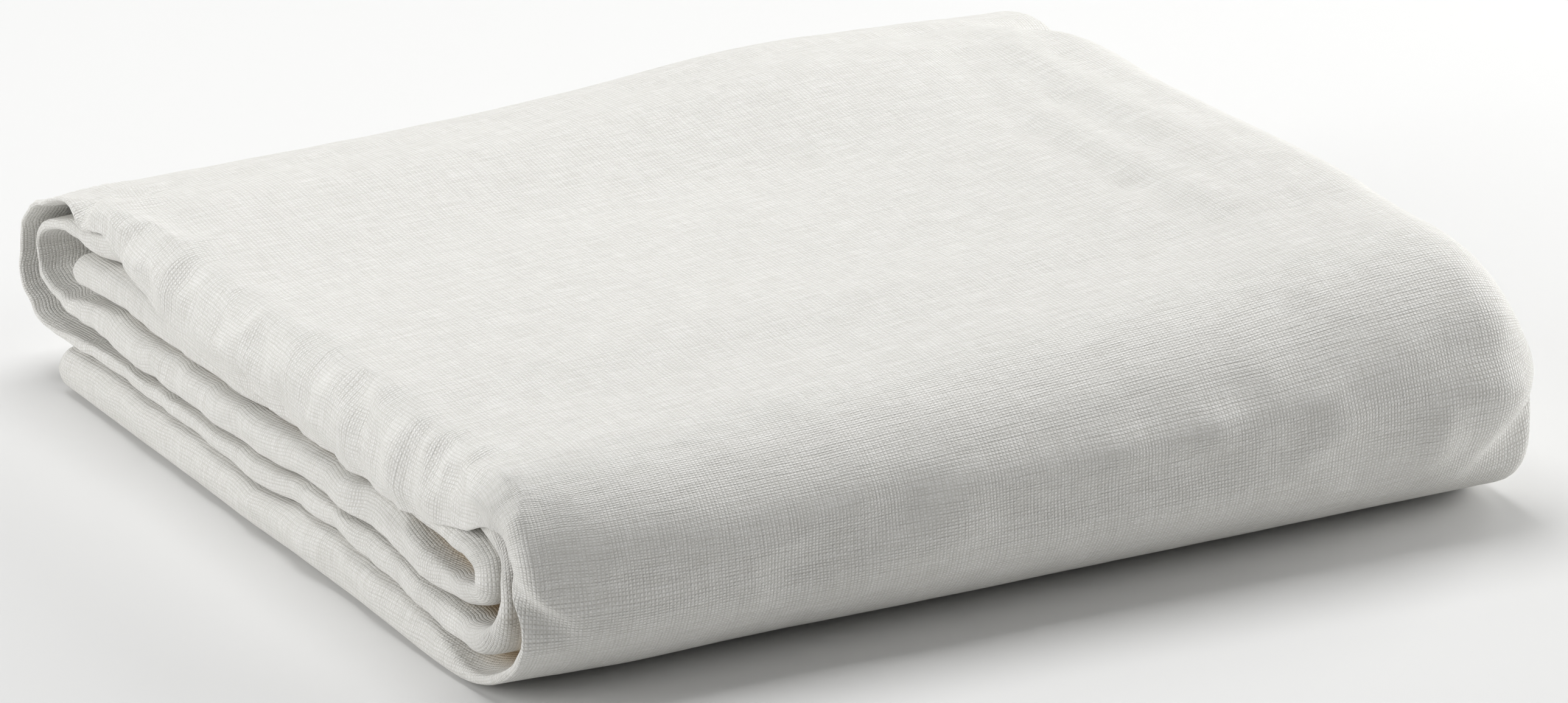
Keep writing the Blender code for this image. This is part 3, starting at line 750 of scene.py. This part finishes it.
# %% Length across the sheet at each column, for the weave
steps = np.linalg.norm(np.diff(cloth, axis=1), axis=2)
across_mm = np.concatenate([np.zeros((ROWS, 1)), np.cumsum(steps, axis=1)], axis=1)
start_column = next(i for i, column in enumerate(COLUMNS) if column[0] == "middle"
                    and column[3] == -1.0 and column[2] > 0.49)
across_mm -= across_mm[:, start_column:start_column + 1] - cloth[:, start_column, 0:1]
along_mm = np.repeat(row_length[:, None], cloth.shape[1], axis=1)


# %% [markdown]
# ## Mesh of the sheet
#
# Rows run along the band and columns across it, so the mesh is one plain grid, and its own UV map
# holds the true distances on the flat cloth, in metres. The weave can follow the folds with it.

# %% Build the mesh
count_rows, count_columns = cloth.shape[:2]
index = np.arange(count_rows * count_columns).reshape(count_rows, count_columns)
quads = np.stack([index[:-1, :-1], index[:-1, 1:], index[1:, 1:], index[1:, :-1]], axis=-1)
mesh = bpy.data.meshes.new("linen_sheet")
mesh.from_pydata((cloth.reshape(-1, 3) / 1000).tolist(), [], quads.reshape(-1, 4).tolist())
mesh.update()
cloth_uv = mesh.uv_layers.new(name="cloth")
corner_point = np.empty(len(mesh.loops), np.int32)
mesh.loops.foreach_get("vertex_index", corner_point)
flat_places = np.stack([across_mm, along_mm], axis=-1).reshape(-1, 2)[corner_point] / 1000
cloth_uv.data.foreach_set("uv", flat_places.ravel().astype(np.float32))
mesh.shade_smooth()

# Painted bounce light: far in the gaps of the left end, light that bounces from cloth to cloth
# looks cream, and this share paints that cream into the cloth's colour. It is 1 there, and 0 on the
# outside of the bundle and further in, where no light comes.
outside = np.isin(piece_of_row, ("top", "front wall", "back loop"))[:, None]
outside = outside & np.array([column[3] == -1.0 for column in COLUMNS])[None, :]
behind_end = cloth[..., 0] - LEFT_END - LEFT_SLANT * cloth[..., 1]
painted_bounce_share = ramp_up(behind_end, 12.0, 20.0) * ramp_down(cloth[..., 0], -160.0, -130.0)
painted_bounce_share *= ramp_down(cloth[..., 1], 105.0, 125.0)
painted_bounce_share = np.where(outside, 0.0, painted_bounce_share)
painted_bounce_light = mesh.attributes.new("painted_bounce_light", "FLOAT", "POINT")
painted_bounce_light.data.foreach_set("value", painted_bounce_share.ravel().astype(np.float32))
sheet = bpy.data.objects.new("linen_sheet", mesh)
bpy.context.scene.collection.objects.link(sheet)
print(2 * len(mesh.polygons), "triangles")

# %% [markdown]
# ## Washed linen
#
# The cloth is plain-woven linen, softened by washing. Flax thread is uneven: here and there a
# thread is thicker for a few centimetres, which gives the fine streaks called slubs. The surface
# is matt, a little fuzzy, and almost white.

# %% Sizes of the weave, in metres on the flat cloth
# The real threads lie 0.63 and 0.49 mm apart, too fine for a picture of the whole bundle, so the
# weave is drawn about twice as coarse.
THREAD_ACROSS, THREAD_ALONG = 0.00125, 0.00105
THREAD_HEIGHT = 0.0003
SLUB_LONG, SLUB_WIDE = 0.016, 0.0009
# How far threads wander, as an angle of the weave's waves, and how long the bends are
WANDER, WANDER_SIZE = 3.0, 0.020
# Washed creases: their size across and along, and their height
CREASE_ACROSS, CREASE_ALONG, CREASE_HEIGHT = 0.010, 0.007, 0.001

# Shares of the weave and of the slubs in the relief, of the slubs along the cloth in all slubs, and
# of the over and under in the weave
WEAVE_SHARE, SLUB_SHARE, ALONG_SHARE, OVER_UNDER_SHARE = 0.9, 0.45, 0.7, 0.25
# The last colour is painted bounce light: a cream laid over the cloth's colour far in the gaps of
# the left end.
CLOTH_COLOUR, THREAD_GAP_COLOUR, PAINTED_BOUNCE_TINT = "F9F8F5", "DDDBD5", "FFEDD2"


# %% Material of the cloth
def calculate(tree, kind, first, second=0.0):
    """A Math node of this kind on two sockets or numbers."""
    node = add(tree, "ShaderNodeMath", {"operation": kind})
    for i, value in enumerate((first, second)):
        if isinstance(value, (int, float)):
            node.inputs[i].default_value = value
        else:
            tree.links.new(value, node.inputs[i])
    return node.outputs["Value"]


def stretched_noise(tree, place, across_size, along_size, detail):
    """Noise whose spots are this long across and along the cloth, in metres."""
    sized = add(tree, "ShaderNodeMapping", {},
                {"Scale": (1 / across_size, 1 / along_size, 1.0)}, {"Vector": place})
    spots = add(tree, "ShaderNodeTexNoise", {"noise_dimensions": "2D"},
                {"Scale": 1.0, "Detail": detail}, {"Vector": sized.outputs["Vector"]})
    return spots.outputs["Fac"]


def above(tree, value, low, high):
    """0 below low, 1 above high, and a ramp between."""
    ramp = add(tree, "ShaderNodeMapRange", {}, {"From Min": low, "From Max": high},
               {"Value": value})
    return ramp.outputs["Result"]


linen = bpy.data.materials.new("washed_linen")
linen.use_nodes = True
tree = linen.node_tree
shader = tree.nodes["Principled BSDF"]
flat = add(tree, "ShaderNodeUVMap", {"uv_map": "cloth"}).outputs["UV"]

# Threads wander a little, so the weave isn't a printed grid.
bends = stretched_noise(tree, flat, WANDER_SIZE, WANDER_SIZE, 2.0)
wander = calculate(tree, "MULTIPLY", bends, WANDER)
parts = add(tree, "ShaderNodeSeparateXYZ", {}, {}, {"Vector": flat})
waves = []
for axis, pitch in (("X", THREAD_ACROSS), ("Y", THREAD_ALONG)):
    turns = calculate(tree, "MULTIPLY", parts.outputs[axis], math.pi / pitch)
    turns = calculate(tree, "ADD", turns, wander)
    waves.append(calculate(tree, "SINE", turns))
# Between two threads lies a gap, and threads go over and under each other by turns.
round_across, round_along = [calculate(tree, "ABSOLUTE", wave) for wave in waves]
gaps = calculate(tree, "MINIMUM", round_across, round_along)
over_under = calculate(tree, "MULTIPLY", waves[0], waves[1])
weave = calculate(tree, "ADD", gaps, calculate(tree, "MULTIPLY", over_under, OVER_UNDER_SHARE))

# Slubs and uneven yarn: single threads are thick or thin for a few centimetres, both ways.
slub_across = stretched_noise(tree, flat, SLUB_LONG, SLUB_WIDE, 1.0)
slub_along = stretched_noise(tree, flat, SLUB_WIDE, SLUB_LONG, 1.0)
thick_along = calculate(tree, "MULTIPLY", above(tree, slub_along, 0.35, 0.80), ALONG_SHARE)
slubs = calculate(tree, "ADD", above(tree, slub_across, 0.30, 0.75), thick_along)
threads = calculate(tree, "ADD", calculate(tree, "MULTIPLY", weave, WEAVE_SHARE),
                    calculate(tree, "MULTIPLY", slubs, SLUB_SHARE))

# Raised threads are paler than the gaps between them.
tone = add(tree, "ShaderNodeMix", {"data_type": "RGBA"}, {},
           {"Factor": above(tree, threads, 0.1, 1.5)})
tone.inputs["A"].default_value = linear(THREAD_GAP_COLOUR)
tone.inputs["B"].default_value = linear(CLOTH_COLOUR)
# Painted bounce light: far in the gaps of the left end the cloth's colour is multiplied by a cream,
# for the light that bounces between the folds.
painted_bounce_factor = add(tree, "ShaderNodeAttribute", {"attribute_name": "painted_bounce_light"}).outputs["Fac"]
painted_bounce_mix = add(tree, "ShaderNodeMix", {"data_type": "RGBA", "blend_type": "MULTIPLY"}, {},
           {"Factor": painted_bounce_factor})
tree.links.new(tone.outputs["Result"], painted_bounce_mix.inputs["A"])
painted_bounce_mix.inputs["B"].default_value = linear(PAINTED_BOUNCE_TINT)
tree.links.new(painted_bounce_mix.outputs["Result"], shader.inputs["Base Color"])

# Fine relief of the threads, on top of faint washed creases
washed = stretched_noise(tree, flat, CREASE_ACROSS, CREASE_ALONG, 3.0)
creases = add(tree, "ShaderNodeBump", {}, {"Strength": 0.35, "Distance": CREASE_HEIGHT},
              {"Height": washed})
relief = add(tree, "ShaderNodeBump", {}, {"Strength": 0.8, "Distance": THREAD_HEIGHT},
             {"Height": threads, "Normal": creases.outputs["Normal"]})
tree.links.new(relief.outputs["Normal"], shader.inputs["Normal"])
# Matt and a little fuzzy
for name, value in (("Roughness", 0.85), ("Specular IOR Level", 0.25), ("Sheen Weight", 0.08),
                    ("Sheen Roughness", 0.6)):
    shader.inputs[name].default_value = value
sheet.data.materials.append(linen)
print(len(tree.nodes), "nodes in the linen")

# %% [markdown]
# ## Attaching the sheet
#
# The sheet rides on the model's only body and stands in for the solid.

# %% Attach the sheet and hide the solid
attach(sheet, "root")
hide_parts("folded_sheet")
